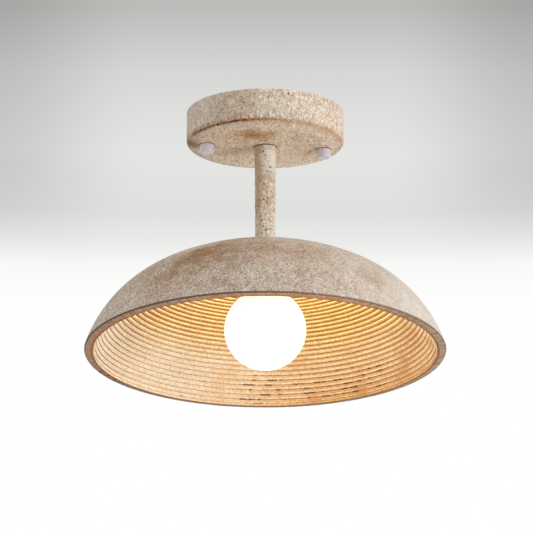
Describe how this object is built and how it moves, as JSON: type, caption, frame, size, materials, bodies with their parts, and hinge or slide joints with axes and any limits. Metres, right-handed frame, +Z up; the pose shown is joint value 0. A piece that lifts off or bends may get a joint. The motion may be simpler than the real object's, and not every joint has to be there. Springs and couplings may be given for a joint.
{
  "type": "semi flush ceiling light",
  "caption": "Round cast canopy and short stem carrying a shallow dome shade, terraced inside, over an opal globe lamp.",
  "frame": {"origin": "middle of the crossbar's ceiling face, on the light's axis", "axes": "+Z up into the ceiling along the stem; +X along the line of the two cap nuts"},
  "size_m": [0.3493, 0.3494, 0.26],
  "materials": {
    "zinc_steel": "zinc plated, dull",
    "tube_steel": "zinc plated thread",
    "ground_screw": "green lacquer",
    "cast_stone": "rough cast travertine look",
    "stem_stone": "pitted travertine look",
    "shade_stone": "clouded cast travertine look",
    "white_plastic": "satin moulded",
    "block_plastic": "translucent nylon",
    "brass": "turned",
    "cup_paint": "matt stone colour",
    "pad_rubber": "matt",
    "gasket_silicone": "translucent",
    "ceramic": "fired, unglazed",
    "lamp_ceramic": "fired white",
    "opal_glass": "opal, lit from inside",
    "lamp_clear": "clear moulded",
    "board": "white board",
    "chip_yellow": "phosphor",
    "live_sleeve": "insulation",
    "neutral_sleeve": "insulation",
    "earth_sleeve": "insulation"
  },
  "bodies": {
    "fixture": {"crossbar": "zinc_steel", "ground_screw": "ground_screw", "canopy_studs": "zinc_steel", "stud_nuts": "zinc_steel", "canopy": "cast_stone", "terminal_block": "block_plastic", "terminal_barrels": "brass", "terminal_screws": "brass", "block_screw": "zinc_steel", "threaded_tube": "tube_steel", "canopy_washer": "zinc_steel", "canopy_lock_washer": "zinc_steel", "canopy_nut": "zinc_steel", "wire_bushings": "white_plastic", "earth_ring": "zinc_steel", "stem_sleeve": "stem_stone", "shade": "shade_stone", "shade_pad": "pad_rubber", "shade_washer": "zinc_steel", "lamp_cup": "cup_paint", "holder_lock_washer": "zinc_steel", "holder_nut": "zinc_steel", "holder_bracket": "zinc_steel", "lampholder": "ceramic", "holder_contacts": "brass", "holder_screws": "zinc_steel", "globe_screw_ring": "white_plastic", "globe_gasket": "gasket_silicone", "live_lead": "live_sleeve", "neutral_lead": "neutral_sleeve", "earth_lead": "earth_sleeve"},
    "globe": {"globe": "opal_glass"},
    "lamp": {"lamp_base": "lamp_ceramic", "lamp_pins": "brass", "lamp_board": "board", "lamp_chips": "chip_yellow", "lamp_cover": "lamp_clear"},
    "left_cap_nut": {"cap_nut_left": "white_plastic", "cap_insert_left": "brass"},
    "right_cap_nut": {"cap_nut_right": "white_plastic", "cap_insert_right": "brass"}
  },
  "joints": [
    {"name": "globe_off", "type": "slide", "parent": "fixture", "child": "globe", "axis": [0, 0, -1], "range_m": [0, 0.052]},
    {"name": "lamp_out", "type": "slide", "parent": "fixture", "child": "lamp", "axis": [0, 0, -1], "range_m": [0, 0.01]},
    {"name": "left_cap_nut_off", "type": "slide", "parent": "fixture", "child": "left_cap_nut", "axis": [0, 0, -1], "range_m": [0, 0.008]},
    {"name": "right_cap_nut_off", "type": "slide", "parent": "fixture", "child": "right_cap_nut", "axis": [0, 0, -1], "range_m": [0, 0.008]}
  ]
}
